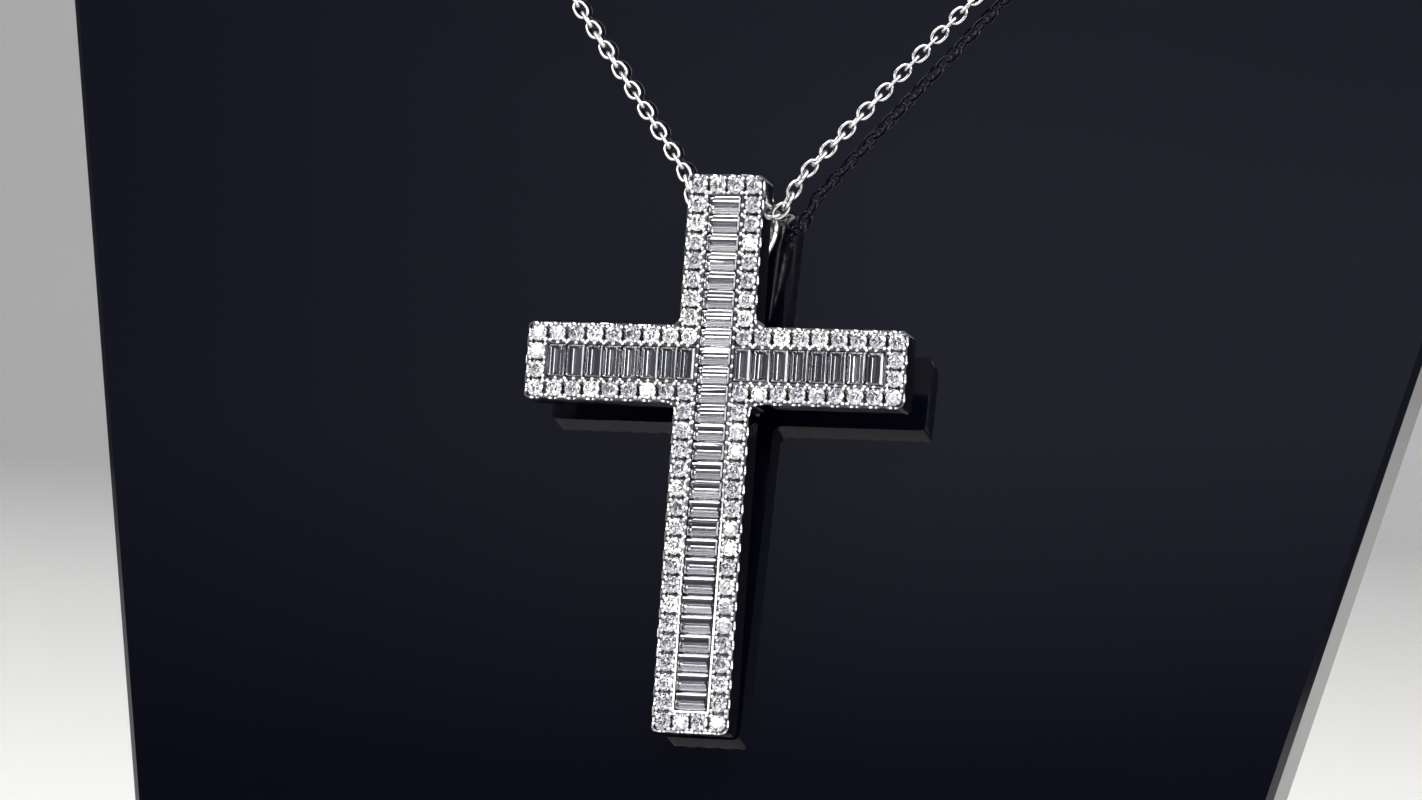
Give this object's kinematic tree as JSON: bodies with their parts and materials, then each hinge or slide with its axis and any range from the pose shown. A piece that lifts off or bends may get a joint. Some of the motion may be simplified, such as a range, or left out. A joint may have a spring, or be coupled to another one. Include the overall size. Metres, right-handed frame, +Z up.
{
  "type": "cross pendant necklace on display stand",
  "caption": "Cross pendant of white gold set with round and baguette stones, on a cable chain over a leaning black display board; the pendant swings on its chain.",
  "frame": {"origin": "middle of the stand's underside, on the surface it stands on", "axes": "+Z up, -Y the side the stones face, +X to the right as the pendant is looked at"},
  "size_m": [0.122, 0.064, 0.1335],
  "materials": {
    "white_gold": "polished white gold",
    "diamond": "clear cut diamond",
    "black_acrylic": "high gloss"
  },
  "bodies": {
    "stand": {"board": "black_acrylic", "base": "black_acrylic", "chain": "white_gold", "clasp": "white_gold"},
    "pendant": {"setting": "white_gold", "round_stones": "diamond", "baguette_stones": "diamond"}
  },
  "joints": [
    {"name": "pendant_swing", "type": "hinge", "parent": "stand", "child": "pendant", "pos_m": [0, -0.00566, 0.06867], "axis": [-1, 0, 0], "range_deg": [0, 70]}
  ]
}
